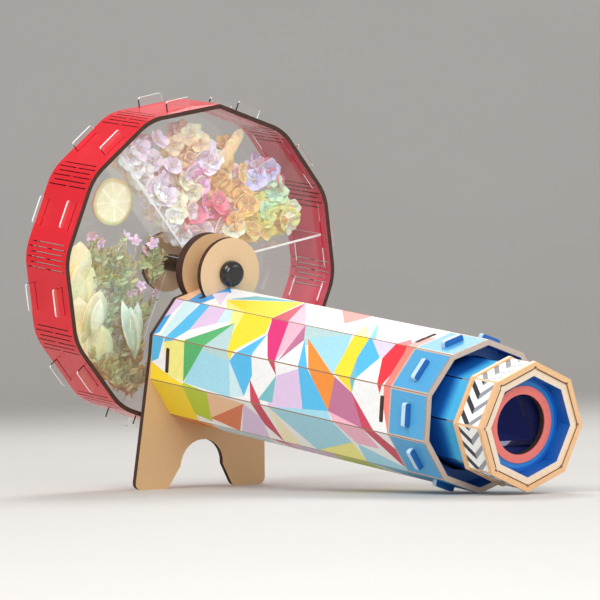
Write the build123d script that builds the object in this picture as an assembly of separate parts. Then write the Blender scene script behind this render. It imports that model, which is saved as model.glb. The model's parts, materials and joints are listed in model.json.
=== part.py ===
from build123d import *
import os
from math import atan2, cos, degrees, pi, radians, sin, tan

# Kaleidoscope with a turning drum, laid on its side on two feet and its collar.
#
# It is drawn about the drum's axle: X points to the side, Y up the object and Z along the tube
# towards the eye, with Z = 0 at the drum's front edge. stand_it() then turns it onto the table.

# ---- driving dimensions, millimetres -------------------------------------------------
drum_corner_r = 75.0        # drum, across a corner
drum_sides = 12
drum_width = 32.0
drum_turn = -3.5            # how far the drum stands turned from a corner straight up, degrees
rim_board = 2.0

window_sheet = 1.0
window_inset = 4.5          # from the rim's edge to the window's outer face
window_tab_length = 12.5
window_tab_out = 4.7        # how far a tab stands out of the rim
divider_sheet = 1.0
divider_count = 3
first_divider = 1           # the rim panel, counted on from the top corner's own, that carries it
fill_gap = 4.5              # between the dried plants and each window
# Each bundle of dried plants: its start and end angle, then its inner and outer radius.
bundles = {
    "petal_fill": (22, 121, 12, 60),
    "herb_fill": (142, 246, 24, 64),
    "leaf_fill": (257, 322, 36, 64),
}

board = 2.5                 # board of the stand, the formers and the tube
plate_front = 7.5           # front face of the stand plate
hub_r = 16.5                # round top of the stand plate
backing_r = 16.5

axle_r = 3.0
axle_gap = 0.05             # running clearance round the axle
face_gap = 0.3              # between faces that slide past each other
hub_disc_front_r = 11.0
hub_disc_rear_r = 14.0
hub_spacer_r = 4.2
drum_spacer_r = 8.0
knob_r = 5.85
knob_height = 4.3
knob_dome = 0.72            # the rounding of the knob's edge, as a share of its height
rear_cap_r = 3.9
rear_cap_height = 3.2
rear_cap_dome = 0.5

tube_drop = 38.5            # tube axis below the drum axis
tube_sides = 10
tube_corner_r = 32.2
tube_end = 181.0            # where the collar starts
rear_former_front = 21.0
front_former_middle = 176.0
tube_tab_length = 11.0
tube_tab_out = 0.1          # the tube's own tabs end level with its skin

collar_board = 2.3
collar_end = 206.0
collar_former_middle = 194.0
collar_tab_length = 10.0
collar_tab_out = 2.6
collar_tab_round = 1.0
coupler_board = 1.5

sleeve_sides = 8
sleeve_corner_r = 24.0
sleeve_board = 2.8
sleeve_start = 10.5
sleeve_recess = 0.6         # from the front frame's face back to the sleeve's end
sleeve_gap = 0.05           # between the sleeve's corners and the round holes it turns in
stop_ring_r = 26.0
stop_gap = 0.5

mirror_glass = 2.0
mirror_back = 9.9           # from the sleeve's axis to a mirror's back
mirror_gap = 0.05           # between two mirrors' edges
mirror_start = 12.5
mirror_end = 222.0
mirror_holder_inset = 1.5   # from a mirror's end to its holder

ring_start = 219.2
ring_end = 237.0
ring_corner_r = 27.0
ring_frame_width = 2.0
band_corner_r = 26.4
eye_recess = 7.5
eye_hole_r = 12.5
eye_ring_r = 16.0
eye_ring_sheet = 0.5
frame_notch_r = 0.9         # round relief in each corner of the front frame's hole

# Stand plate below the tube: half widths, and heights measured down from the drum's axle.
waist_half = 31.0
foot_half = 35.8
foot_drop = 98.3
arch_r = 11.6
arch_drop = 88.1
arch_foot_half = 17.8
arch_run_out = 0.5          # how far the arch's cut runs past the feet, as a share of its flare
foot_round = 3.0
hub_lug_inset = 0.5         # how much smaller the rear former's lug is than the stand's hub
sight_hole_inset = 1.5      # how much smaller the sight hole is than the sleeve's inside
slip = 0.1                  # round a board piece that fits inside another

# ---- sizes worked out from them ------------------------------------------------------
rim_apothem = drum_corner_r * cos(pi / drum_sides)
drum_hole_r = (rim_apothem - rim_board) / cos(pi / drum_sides)
tube_apothem = tube_corner_r * cos(pi / tube_sides)
tube_hole_r = (tube_apothem - board) / cos(pi / tube_sides)
collar_hole_r = (tube_apothem - collar_board) / cos(pi / tube_sides)
sleeve_apothem = sleeve_corner_r * cos(pi / sleeve_sides)
sleeve_hole_r = (sleeve_apothem - sleeve_board) / cos(pi / sleeve_sides)
bearing_r = sleeve_corner_r + sleeve_gap
plate_back = plate_front - board
backing_back = plate_back - board
drum_back = -drum_width
front_window_back = -window_inset - window_sheet
rear_window_back = drum_back + window_inset
rear_window_front = rear_window_back + window_sheet
eye_plate_front = ring_end - eye_recess
eye_plate_back = eye_plate_front - board
top_corner = 90.0
drum_top_corner = top_corner + drum_turn
panel_angle = 360.0 / drum_sides
tube_panel = 360.0 / tube_sides

# The object lies nose-down, on the feet's front edges and the collar's lowest corner.
tilt = degrees(atan2(foot_drop - tube_drop - tube_corner_r, collar_end - plate_front))

tube_axis = Pos(0, -tube_drop, 0)


# ---- shapes that repeat --------------------------------------------------------------
def turned(radius, angle):
    return (radius * cos(radians(angle)), radius * sin(radians(angle)))


def regular(corner_r, sides, first_corner):
    """A regular polygon with a corner at the given angle."""
    corners = [turned(corner_r, first_corner + 360.0 * k / sides) for k in range(sides)]
    return Polygon(*corners, align=None)


def slab(sketch, start, end):
    return Pos(0, 0, start) * extrude(sketch, end - start)


def tube_section(outer_r, inner_r, sides, first_corner):
    return regular(outer_r, sides, first_corner) - regular(inner_r, sides, first_corner)


def tabs(angles, length, start_r, end_r, rounding=0.0):
    """Rectangular tabs that stand out at the given angles."""
    sketch = Sketch()
    for angle in angles:
        tab = Rectangle(end_r - start_r, length)
        if rounding:
            outer = tab.vertices().sort_by(Axis.X)[-2:]
            tab = fillet(outer, rounding)
        sketch += Rot(Z=angle) * Pos((start_r + end_r) / 2, 0) * tab
    return sketch


def half_plane(side, reach):
    return Pos(side * reach / 2, 0) * Rectangle(reach, 2 * reach)


def sector(start_angle, end_angle, inner_r, outer_r):
    """A piece of a flat ring between two angles."""
    reach = 3 * outer_r
    middle = (start_angle + end_angle) / 2
    wedge = Polygon((0, 0), turned(reach, start_angle), turned(reach, middle),
                    turned(reach, end_angle), align=None)
    return (Circle(outer_r) - Circle(inner_r)) & wedge


# ---- drum ----------------------------------------------------------------------------
def panel_middles():
    return [drum_top_corner + panel_angle * (k + 0.5) for k in range(drum_sides)]


def window_sketch(clearance=0.0):
    plate = regular(drum_hole_r - slip + clearance, drum_sides, drum_top_corner)
    out = tabs(panel_middles(), window_tab_length + 2 * clearance, rim_apothem - 2 * rim_board,
               rim_apothem + window_tab_out + clearance)
    return plate + out - Circle(axle_r)


def window(start):
    return slab(window_sketch(), start, start + window_sheet)


def rim_strips():
    """The rim in two strips of six panels, with a slot for every window tab."""
    section = tube_section(drum_corner_r, drum_hole_r, drum_sides, drum_top_corner)
    slot = window_sketch(clearance=slip)
    slots = [slab(slot, start - slip, start + window_sheet + slip)
             for start in (front_window_back, rear_window_back)]
    strips = []
    for side in (-1, 1):
        half = Rot(Z=drum_turn) * half_plane(side, 2 * drum_corner_r)
        strip = slab(section & half, drum_back, 0)
        for cut in slots:
            strip -= cut
        strips.append(strip)
    return strips


def divider(number):
    """A clear partition from the hub to the middle of a rim panel."""
    middle = drum_top_corner + panel_angle * (first_divider + 0.5)
    middle += 360.0 / divider_count * number
    inner = hub_spacer_r
    outer = rim_apothem - rim_board
    wall = Pos((inner + outer) / 2, 0) * Rectangle(outer - inner, divider_sheet)
    return slab(Rot(Z=middle) * wall, rear_window_front, front_window_back)


def fill(start_angle, end_angle, inner_r, outer_r):
    """A pressed bundle of dried plants, clear of the windows."""
    return slab(sector(start_angle, end_angle, inner_r, outer_r),
                rear_window_front + fill_gap, front_window_back - fill_gap)


def washer(outer_r, start, end, inner_r=axle_r):
    return slab(Circle(outer_r) - Circle(inner_r), start, end)


def axle():
    return slab(Circle(axle_r), axle_start(), knob_back() + knob_height / 2)


def axle_start():
    return hub_disc_rear_back() - rear_cap_height / 2


def hub_disc_rear_back():
    return rear_window_back - board


def knob_back():
    return rear_former_front + face_gap


def knob():
    body = slab(Circle(knob_r), knob_back(), knob_back() + knob_height)
    body = fillet(body.edges().sort_by(Axis.Z)[-1], knob_height * knob_dome)
    return body - axle()


def rear_cap():
    back = hub_disc_rear_back()
    body = slab(Circle(rear_cap_r), back - rear_cap_height, back)
    body = fillet(body.edges().sort_by(Axis.Z)[0], rear_cap_height * rear_cap_dome)
    return body - axle()


# ---- stand ---------------------------------------------------------------------------
def stand_sketch():
    """Round hub, shoulders round the tube, splayed sides and an arch between two feet."""
    hub = Circle(hub_r)
    shoulders = Pos(0, -tube_drop) * regular(tube_corner_r, tube_sides, top_corner)
    legs = Polygon((-waist_half, -tube_drop), (-foot_half, -foot_drop), (foot_half, -foot_drop),
                   (waist_half, -tube_drop), align=None)
    spread = arch_foot_half + (arch_foot_half - arch_r) * arch_run_out
    drop = foot_drop + (foot_drop - arch_drop) * arch_run_out
    flare = Polygon((-arch_r, -arch_drop), (-spread, -drop), (spread, -drop),
                    (arch_r, -arch_drop), align=None)
    arch = Pos(0, -arch_drop) * Circle(arch_r) + flare
    legs -= arch
    feet = legs.vertices().sort_by(Axis.Y)[:4]
    legs = fillet(feet, foot_round)
    return hub + shoulders + legs


def stand_plate():
    sight_hole = Pos(0, -tube_drop) * Circle(sleeve_hole_r - sight_hole_inset)
    axle_hole = Circle(axle_r + axle_gap)
    return slab(stand_sketch() - sight_hole - axle_hole, plate_back, plate_front)


# ---- tube ----------------------------------------------------------------------------
def tab_angles(count):
    """Tabs on every panel of the tube, or on every other one."""
    step = tube_sides // count
    return [top_corner + tube_panel * (0.5 + step * k) for k in range(count)]


def former_sketch(hole_r, inner_r, tab_count, tab_length, tab_end, clearance=0.0, rounding=0.0):
    """A ten-sided plate that fits inside the tube and grips it with tabs."""
    plate = regular(inner_r - slip + clearance, tube_sides, top_corner)
    plate += tabs(tab_angles(tab_count), tab_length + 2 * clearance, tube_apothem / 2,
                  tab_end + clearance, rounding)
    return plate - Circle(hole_r)


def rear_former_sketch(clearance=0.0):
    """The rear former carries the axle's round lug up through the tube's roof."""
    plate = former_sketch(bearing_r, tube_hole_r, 5, tube_tab_length,
                          tube_apothem + tube_tab_out, clearance)
    lug = Pos(0, tube_drop) * Circle(hub_r - hub_lug_inset + clearance)
    return plate + lug - Circle(bearing_r) - Pos(0, tube_drop) * Circle(axle_r + axle_gap)


def front_former_sketch(clearance=0.0):
    return former_sketch(bearing_r, tube_hole_r, 5, tube_tab_length,
                         tube_apothem + tube_tab_out, clearance)


def collar_former_sketch(clearance=0.0, rounding=0.0):
    return former_sketch(bearing_r, collar_hole_r, tube_sides, collar_tab_length,
                         tube_apothem + collar_tab_out, clearance, rounding)


def about(sketch, middle, clearance=0.0):
    return slab(sketch, middle - board / 2 - clearance, middle + board / 2 + clearance)


def tube_wrap(side):
    """Five panels of the tube's printed board."""
    section = tube_section(tube_corner_r, tube_hole_r, tube_sides, top_corner)
    wrap = slab(section & half_plane(side, 2 * tube_corner_r), plate_front, tube_end)
    wrap -= about(rear_former_sketch(slip), rear_former_front - board / 2, slip)
    wrap -= about(front_former_sketch(slip), front_former_middle, slip)
    return tube_axis * wrap


def collar_band():
    section = tube_section(tube_corner_r, collar_hole_r, tube_sides, top_corner)
    band = slab(section, tube_end, collar_end)
    return tube_axis * (band - about(collar_former_sketch(slip), collar_former_middle, slip))


def collar_coupler():
    """A strip inside the seam that joins the collar to the tube."""
    outer = tube_hole_r - slip
    inner = outer - coupler_board / cos(pi / tube_sides)
    start = front_former_middle + board / 2
    end = collar_former_middle - board / 2
    section = tube_section(outer, inner, tube_sides, top_corner)
    return tube_axis * slab(section, start, end)


def locating_ring():
    """The plate glued to the stand that the tube's end fits round."""
    sketch = regular(tube_hole_r - slip, tube_sides, top_corner)
    sketch -= Circle(sleeve_hole_r - sight_hole_inset)
    return tube_axis * slab(sketch, plate_front, plate_front + board)


# ---- eyepiece ------------------------------------------------------------------------
def octagon_ring(outer_r, inner_r, start, end):
    section = tube_section(outer_r, inner_r, sleeve_sides, top_corner)
    return tube_axis * slab(section, start, end)


def stop_ring(start):
    sketch = Circle(stop_ring_r) - regular(sleeve_corner_r, sleeve_sides, top_corner)
    return tube_axis * slab(sketch, start, start + board)


def mirror_half_width():
    return (mirror_back - mirror_glass) * tan(pi / 3) - mirror_gap


def mirror(number):
    strip = Pos(mirror_back - mirror_glass / 2, 0) * Rectangle(mirror_glass, 2 * mirror_half_width())
    return tube_axis * slab(Rot(Z=-90 + 120 * number) * strip, mirror_start, mirror_end)


def mirror_holder(start):
    """An octagonal plate with a hole that the three mirrors' backs fit."""
    corners = []
    for k in range(3):
        for side in (-1, 1):
            x, y = mirror_back, side * mirror_half_width()
            corners.append(turned((x * x + y * y) ** 0.5, -90 + 120 * k + degrees(atan2(y, x))))
    plate = regular(sleeve_hole_r, sleeve_sides, top_corner) - Polygon(*corners, align=None)
    return tube_axis * slab(plate, start, start + board)


def eye_plate():
    sketch = regular(sleeve_hole_r, sleeve_sides, top_corner) - Circle(eye_hole_r)
    return tube_axis * slab(sketch, eye_plate_back, eye_plate_front)


def eye_ring():
    sketch = Circle(eye_ring_r) - Circle(eye_hole_r)
    return tube_axis * slab(sketch, eye_plate_front, eye_plate_front + eye_ring_sheet)


def front_frame():
    """The frame round the sleeve's end, with a round notch in each corner of its hole."""
    start = ring_end - ring_frame_width
    frame = octagon_ring(ring_corner_r, sleeve_corner_r, start, ring_end)
    notches = Sketch()
    for k in range(sleeve_sides):
        corner = turned(sleeve_corner_r, top_corner + 360.0 * k / sleeve_sides)
        notches += Pos(*corner) * Circle(frame_notch_r)
    return frame - tube_axis * slab(notches, start, ring_end)


# ---- the whole object ----------------------------------------------------------------
def build():
    rim_a, rim_b = rim_strips()
    nodes = {
        "rim_strip_a": rim_a,
        "rim_strip_b": rim_b,
        "front_window": window(front_window_back),
        "rear_window": window(rear_window_back),
        "hub_spacer": washer(hub_spacer_r, rear_window_front, front_window_back),
        "hub_disc_front": washer(hub_disc_front_r, -window_inset, -window_inset + board),
        "hub_disc_rear": washer(hub_disc_rear_r, hub_disc_rear_back(), rear_window_back),
        "drum_spacer": washer(drum_spacer_r, -window_inset + board, backing_back - face_gap),
        "axle": axle(),
        "axle_knob": knob(),
        "axle_rear_cap": rear_cap(),
        "stand_plate": stand_plate(),
        "hub_backing_disc": washer(backing_r, backing_back, plate_back, axle_r + axle_gap),
        "locating_ring": locating_ring(),
        "tube_wrap_left": tube_wrap(-1),
        "tube_wrap_right": tube_wrap(1),
        "tube_former_rear": tube_axis * about(rear_former_sketch(), rear_former_front - board / 2),
        "tube_former_front": tube_axis * about(front_former_sketch(), front_former_middle),
        "collar_coupler": collar_coupler(),
        "collar_band": collar_band(),
        "collar_former": tube_axis * about(collar_former_sketch(rounding=collar_tab_round),
                                           collar_former_middle),
        "inner_sleeve": octagon_ring(sleeve_corner_r, sleeve_hole_r, sleeve_start,
                                     ring_end - sleeve_recess),
        "sleeve_stop_rear": stop_ring(front_former_middle - 1.5 * board - stop_gap),
        "sleeve_stop_front": stop_ring(front_former_middle + board / 2 + stop_gap),
        "mirror_holder_rear": mirror_holder(mirror_start + mirror_holder_inset),
        "mirror_holder_front": mirror_holder(mirror_end - mirror_holder_inset - board),
        "eyepiece_frame_back": octagon_ring(ring_corner_r, sleeve_corner_r, ring_start,
                                            ring_start + ring_frame_width),
        "eyepiece_band": octagon_ring(band_corner_r, sleeve_corner_r,
                                      ring_start + ring_frame_width, ring_end - ring_frame_width),
        "eyepiece_frame_front": front_frame(),
        "eye_plate": eye_plate(),
        "eye_ring": eye_ring(),
    }
    for name, place in bundles.items():
        nodes[name] = fill(*place)
    for number in range(divider_count):
        nodes[f"divider_{number + 1}"] = divider(number)
    for number in range(3):
        nodes[f"mirror_{number + 1}"] = mirror(number)
    return nodes


def stand_it(nodes):
    """Turn the object onto the table, with the origin under the middle of its box."""
    turn = Rot(X=90 + tilt)
    stood = {name: turn * solid for name, solid in nodes.items()}
    boxes = [solid.bounding_box() for solid in stood.values()]
    low_y = min(box.min.Y for box in boxes)
    high_y = max(box.max.Y for box in boxes)
    low_z = min(box.min.Z for box in boxes)
    shift = Pos(0, -(low_y + high_y) / 2, -low_z)
    print(f"tilt {tilt:.6f} degrees")
    print(f"origin moved by {-(low_y + high_y) / 2:.6f} in Y, {-low_z:.6f} in Z")
    return {name: shift * solid for name, solid in stood.items()}


os.makedirs("parts", exist_ok=True)
for name, solid in stand_it(build()).items():
    export_step(solid, f"parts/{name}.step")
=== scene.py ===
import json
import math
import random

import bmesh
import bpy
from mathutils import Matrix, Vector, geometry


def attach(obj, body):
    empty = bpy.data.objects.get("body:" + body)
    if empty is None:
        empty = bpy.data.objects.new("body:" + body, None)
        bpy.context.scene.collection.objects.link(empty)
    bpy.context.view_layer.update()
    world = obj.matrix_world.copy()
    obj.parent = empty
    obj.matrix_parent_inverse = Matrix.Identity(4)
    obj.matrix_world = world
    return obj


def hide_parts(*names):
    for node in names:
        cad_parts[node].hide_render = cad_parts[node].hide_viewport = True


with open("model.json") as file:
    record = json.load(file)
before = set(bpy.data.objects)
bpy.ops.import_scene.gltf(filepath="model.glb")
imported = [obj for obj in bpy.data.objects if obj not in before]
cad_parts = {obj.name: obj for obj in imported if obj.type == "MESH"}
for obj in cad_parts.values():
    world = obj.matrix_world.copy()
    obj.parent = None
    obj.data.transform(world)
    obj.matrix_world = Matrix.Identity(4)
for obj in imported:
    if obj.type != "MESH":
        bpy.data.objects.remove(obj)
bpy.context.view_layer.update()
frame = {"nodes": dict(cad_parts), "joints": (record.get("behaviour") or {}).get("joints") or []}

scene = bpy.context.scene

# The pieces are drawn about the drum's axle, in millimetres: x to the side, y up the object and
# z along the tube towards the eye. to_row() turns such a point into the frame's metres.
MM = 0.001
joints = {j["name"]: j for j in frame["joints"]}
origin = Vector(joints["drum_spin"]["pos_m"])
along = Vector(joints["drum_spin"]["axis"]).normalized()
side = Vector((1, 0, 0))
up = along.cross(side)
tube_drop = (origin - Vector(joints["eyepiece_turn"]["pos_m"])).dot(up) / MM


def to_row(point):
    return origin + (side * point[0] + up * point[1] + along * point[2]) * MM


def drawn(node):
    """A CAD node's points, in the drawing's millimetres."""
    local = [v.co - origin for v in frame["nodes"][node].data.vertices]
    return [Vector((p.dot(side), p.dot(up), p.dot(along))) / MM for p in local]


def z_range(node):
    heights = [p.z for p in drawn(node)]
    return min(heights), max(heights)


def z_middle(node):
    return sum(z_range(node)) / 2


def corner_radius(node):
    """How far a node reaches from the tube's axis."""
    return max(math.hypot(p.x, p.y + tube_drop) for p in drawn(node))


def turned(radius, angle, drop=0.0):
    """A point at an angle about the axle, or about an axis that lies lower by drop."""
    a = math.radians(angle)
    return Vector((radius * math.cos(a), radius * math.sin(a) - drop))


# ---- colours ----
def rgb(r, g, b):
    """An sRGB colour, 0 to 255, as linear light."""
    def linear(c):
        c /= 255
        return c / 12.92 if c <= 0.04045 else ((c + 0.055) / 1.055) ** 2.4
    return (linear(r), linear(g), linear(b), 1.0)


WHITE = rgb(246, 246, 244)
CREAM = rgb(252, 240, 196)
PEACH = rgb(250, 205, 165)
AQUA = rgb(165, 220, 236)
PALE_AQUA = rgb(208, 236, 240)
GREY_AQUA = rgb(186, 216, 216)
SKY = rgb(84, 190, 238)
BLUE = rgb(64, 160, 226)
TEAL = rgb(120, 192, 200)
YELLOW = rgb(255, 224, 50)
PALE_YELLOW = rgb(246, 240, 140)
LIME = rgb(190, 214, 50)
GREEN = rgb(84, 182, 110)
MAGENTA = rgb(226, 44, 122)
CRIMSON = rgb(208, 66, 92)
PINK = rgb(248, 186, 204)
LILAC = rgb(226, 200, 232)
LAVENDER = rgb(226, 214, 240)
MAUVE = rgb(196, 116, 152)
ORANGE = rgb(246, 146, 52)
BURNT_ORANGE = rgb(226, 122, 82)
CORAL = rgb(246, 134, 122)
RED = rgb(236, 48, 62)
SEAM_TAN = rgb(176, 140, 112)
TAN = rgb(214, 176, 130)
PALE_TAN = rgb(226, 192, 152)
BURNT = rgb(70, 42, 30)
COLLAR_BLUE = rgb(80, 166, 216)
SLEEVE_BLUE = rgb(74, 182, 230)
DEEP_BLUE = rgb(14, 84, 176)
FRAME_TAN = rgb(232, 186, 138)
LINING = rgb(232, 214, 190)
CHARCOAL = rgb(48, 48, 56)
GREY = rgb(150, 152, 160)
# Lit and shaded blues of the collar former's tabs: painted light and painted shade.
TAB_LIT_EDGE = rgb(196, 222, 240)
TAB_SHADE = rgb(36, 104, 176)
INNER_BLUE = rgb(24, 104, 190)
SALMON = rgb(238, 122, 112)
RIM_RED = rgb(218, 22, 40)
RIM_INSIDE = rgb(212, 78, 96)
PALE_SEAM = rgb(206, 184, 168)
# Painted shade on the sleeve's seams near the collar.
SHADED_SEAM = rgb(16, 24, 60)
EYE_BLUE = rgb(16, 92, 178)
EYE_RINGS = [rgb(10, 74, 156), rgb(18, 100, 190), rgb(40, 132, 208)]
SEED_HEAD = rgb(240, 226, 150)
FLOOR = rgb(206, 203, 199)


def blended(near, far, share):
    """A colour part of the way from one to another."""
    return tuple(n + (f - n) * share for n, f in zip(near, far))


# ---- materials ----
def new_material(name, roughness, **sockets):
    material = bpy.data.materials.new(name)
    material.use_nodes = True
    shader = material.node_tree.nodes["Principled BSDF"]
    shader.inputs["Roughness"].default_value = roughness
    for key, value in sockets.items():
        shader.inputs[key.replace("_", " ")].default_value = value
    return material, material.node_tree, shader


def object_noise(tree, scale, detail=4.0):
    """Noise that is fixed to the surface."""
    where = tree.nodes.new("ShaderNodeTexCoord")
    noise = tree.nodes.new("ShaderNodeTexNoise")
    noise.inputs["Scale"].default_value = scale
    noise.inputs["Detail"].default_value = detail
    tree.links.new(where.outputs["Object"], noise.inputs["Vector"])
    return noise


def add_bump(tree, shader, noise, strength, distance):
    bump = tree.nodes.new("ShaderNodeBump")
    bump.inputs["Strength"].default_value = strength
    bump.inputs["Distance"].default_value = distance
    tree.links.new(noise.outputs["Fac"], bump.inputs["Height"])
    tree.links.new(bump.outputs["Normal"], shader.inputs["Normal"])


def vary(tree, shader, colour_output, noise, low, high):
    """Lightens and darkens a colour with noise."""
    ramp = tree.nodes.new("ShaderNodeMapRange")
    span = {"From Min": 0.3, "From Max": 0.7, "To Min": low, "To Max": high}
    for key, value in span.items():
        ramp.inputs[key].default_value = value
    mix = tree.nodes.new("ShaderNodeMix")
    mix.data_type = "RGBA"
    mix.blend_type = "MULTIPLY"
    mix.inputs["Factor"].default_value = 1.0
    tree.links.new(noise.outputs["Fac"], ramp.inputs["Value"])
    tree.links.new(colour_output, mix.inputs[6])
    tree.links.new(ramp.outputs["Result"], mix.inputs[7])
    tree.links.new(mix.outputs[2], shader.inputs["Base Color"])


def painted(name, roughness, low=0.95, high=1.04, **sockets):
    """A surface whose colour is painted on the mesh."""
    material, tree, shader = new_material(name, roughness, **sockets)
    paint = tree.nodes.new("ShaderNodeVertexColor")
    paint.layer_name = "paint"
    noise = object_noise(tree, 700)
    vary(tree, shader, paint.outputs["Color"], noise, low, high)
    add_bump(tree, shader, noise, 0.12, 0.0002)
    return material


def speckled(name, colour, roughness, scale, low, high, bump=0.2, **sockets):
    """A surface of one colour, lightened and darkened in specks."""
    material, tree, shader = new_material(name, roughness, **sockets)
    base = tree.nodes.new("ShaderNodeRGB")
    base.outputs[0].default_value = colour
    noise = object_noise(tree, scale, 6.0)
    vary(tree, shader, base.outputs[0], noise, low, high)
    add_bump(tree, shader, noise, bump, 0.0003)
    return material


def clear_plastic(name, roughness, tint):
    material, tree, shader = new_material(name, roughness, Transmission_Weight=1.0, IOR=1.45)
    shader.inputs["Base Color"].default_value = tint
    add_bump(tree, shader, object_noise(tree, 60), 0.02, 0.0002)
    return material


PRINT = painted("printed_board", 0.38, Specular_IOR_Level=0.5)
# Thin petals let light through; the faint glow is painted light that lifts the plants' shade, like
# the window's haze.
PLANT = painted("dried_plant", 0.5, 0.94, 1.05, Subsurface_Weight=0.6, Subsurface_Scale=0.005,
                Emission_Color=rgb(255, 228, 216), Emission_Strength=0.07)
GLOSS_RED = painted("gloss_red_print", 0.25, 0.97, 1.03, Specular_IOR_Level=0.25,
                    Coat_Weight=0.12, Coat_Roughness=0.1)
BOARD = speckled("plain_board", TAN, 0.72, 1400, 0.94, 1.04, 0.15)
PALE_BOARD = speckled("pale_board", PALE_TAN, 0.72, 1400, 0.95, 1.03, 0.15)
BURNT_EDGE = speckled("laser_cut_edge", BURNT, 0.8, 900, 0.6, 1.3)
CLEAR = clear_plastic("clear_sheet", 0.02, (0.99, 0.985, 0.98, 1))
# The clear sheets' cut edges are white: frosted by the cut, with a painted highlight.
FROSTED_AND_HIGHLIT_EDGE = speckled("clear_sheet_edge", rgb(246, 244, 244), 0.3, 200, 0.95, 1.05, 0.05)
NAVY_BOARD = speckled("navy_board", rgb(34, 44, 112), 0.6, 900, 0.92, 1.06, 0.1)
# A faint blue glow stands for the light that reaches the eye by many reflections.
MIRROR = speckled("mirror", rgb(150, 156, 178), 0.03, 40, 0.98, 1.0, 0.0, Metallic=1.0,
                  Emission_Color=rgb(26, 30, 66), Emission_Strength=0.6)
BLACK = speckled("black_plastic", rgb(18, 18, 20), 0.18, 300, 0.8, 1.2, 0.03, Coat_Weight=0.4)


# ---- board pieces ----
def counterclockwise(loop):
    area = sum(a[0] * b[1] - b[0] * a[1] for a, b in zip(loop, [*loop[1:], loop[0]]))
    return loop if area > 0 else loop[::-1]


def triangulate(outlines, holes, creases, paint):
    """Flat triangles of a cut-out shape, each with the number of the paint on it, or -1."""
    points, faces, edges = [], [], []
    for loop in [*outlines, *holes, *[shape for _, shape in paint]]:
        start = len(points)
        points += [Vector(p) for p in counterclockwise(loop)]
        faces.append(list(range(start, len(points))))
    for a, b in creases:
        edges.append((len(points), len(points) + 1))
        points += [Vector(a), Vector(b)]
    found = geometry.delaunay_2d_cdt(points, edges, faces, 0, 1e-5)
    flat, triangles, owners = found[0], found[2], found[5]
    kept, colours = [], []
    first_hole = len(outlines)
    first_paint = first_hole + len(holes)
    for triangle, owner in zip(triangles, owners):
        inside = any(o < first_hole for o in owner)
        if not inside or any(first_hole <= o < first_paint for o in owner):
            continue
        kept.append(triangle)
        colours.append(max((o - first_paint for o in owner if o >= first_paint), default=-1))
    return flat, kept, colours


def in_scene(name, data):
    """A new object in the scene."""
    thing = bpy.data.objects.new(name, data)
    scene.collection.objects.link(thing)
    return thing


def painted_piece(name, vertices, faces, colours, *materials):
    """A mesh with a colour painted on each face."""
    mesh = bpy.data.meshes.new(name)
    mesh.from_pydata(vertices, [], faces)
    layer = mesh.color_attributes.new("paint", "FLOAT_COLOR", "CORNER")
    for polygon, colour in zip(mesh.polygons, colours):
        for loop in polygon.loop_indices:
            layer.data[loop].color = colour
    for material in materials:
        mesh.materials.append(material)
    return in_scene(name, mesh)


def face_out(mesh):
    work = bmesh.new()
    work.from_mesh(mesh)
    bmesh.ops.recalc_face_normals(work, faces=work.faces)
    work.to_mesh(mesh)
    work.free()


def board_piece(node, body, outlines, place, thickness, ground, slot, name=None, back=PALE_TAN,
                edge=BURNT, holes=(), creases=(), paint=(), faced_edge=None, shadow=True,
                materials=(PRINT, PALE_BOARD, BURNT_EDGE)):
    """A sheet of board cut to outlines, bent or laid where place(a, b, depth) says.

    It replaces a CAD node. The materials are for its front, its back and its cut edge.
    faced_edge(a, b) says where a cut edge looks like the front instead of like a cut.
    """
    flat, triangles, colours = triangulate(outlines, holes, creases, paint)
    used = sorted({i for t in triangles for i in t})
    number = {old: new for new, old in enumerate(used)}
    count = len(used)
    vertices = [to_row(place(flat[i].x, flat[i].y, depth))
                for depth in (0.0, thickness) for i in used]
    faces, fills, kinds = [], [], []
    sides = set()
    for triangle, colour in zip(triangles, colours):
        t = [number[i] for i in triangle]
        faces += [t, [i + count for i in reversed(t)]]
        fills += [paint[colour][0] if colour >= 0 else ground, back]
        kinds += [0, 1]
        sides.update(zip(t, t[1:] + t[:1]))
    for a, b in sides:
        if (b, a) not in sides:
            middle = (flat[used[a]] + flat[used[b]]) / 2
            faced = faced_edge is not None and faced_edge(middle.x, middle.y)
            faces.append([b, a, a + count, b + count])
            fills.append(ground if faced else edge)
            kinds.append(0 if faced else 2)
    piece = painted_piece(name or f"{node}_board", vertices, faces, fills, *materials)
    for polygon, kind in zip(piece.data.polygons, kinds):
        polygon.material_index = kind
    face_out(piece.data)
    piece.visible_shadow = shadow
    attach(piece, body)
    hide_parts(node)


def plate(node, body, outlines, drop=0.0, **options):
    """A flat board piece between a CAD node's two faces, drawn about an axis drop lower."""
    back, front = z_range(node)

    def laid(a, b, depth):
        return Vector((a, b - drop, front - depth))

    board_piece(node, body, outlines, laid, front - back, **options)


def give(material, *nodes):
    """CAD nodes that stay get their finished material."""
    for node in nodes:
        for holder in frame["nodes"][node].material_slots:
            holder.material = material


def rectangle(a0, b0, a1, b1):
    return [(a0, b0), (a1, b0), (a1, b1), (a0, b1)]


def arc(radius, start, end, centre=(0.0, 0.0), step=6.0):
    """Points along an arc, angles in degrees."""
    count = max(2, round(abs(end - start) / step))
    angles = [math.radians(start + (end - start) * k / count) for k in range(count + 1)]
    return [(centre[0] + radius * math.cos(a), centre[1] + radius * math.sin(a))
            for a in angles]


def circle(radius, centre=(0.0, 0.0), step=6):
    return arc(radius, 0, 360 - step, centre, step)


def round_slot(middle_a, middle_b, length, width):
    """A slot with round ends, lying along a."""
    reach = (length - width) / 2
    return (arc(width / 2, -90, 90, (middle_a + reach, middle_b), 30)
            + arc(width / 2, 90, 270, (middle_a - reach, middle_b), 30))


def polygon_loop(corner_r, sides, first_corner):
    return [tuple(turned(corner_r, first_corner + 360.0 * k / sides)) for k in range(sides)]


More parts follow.
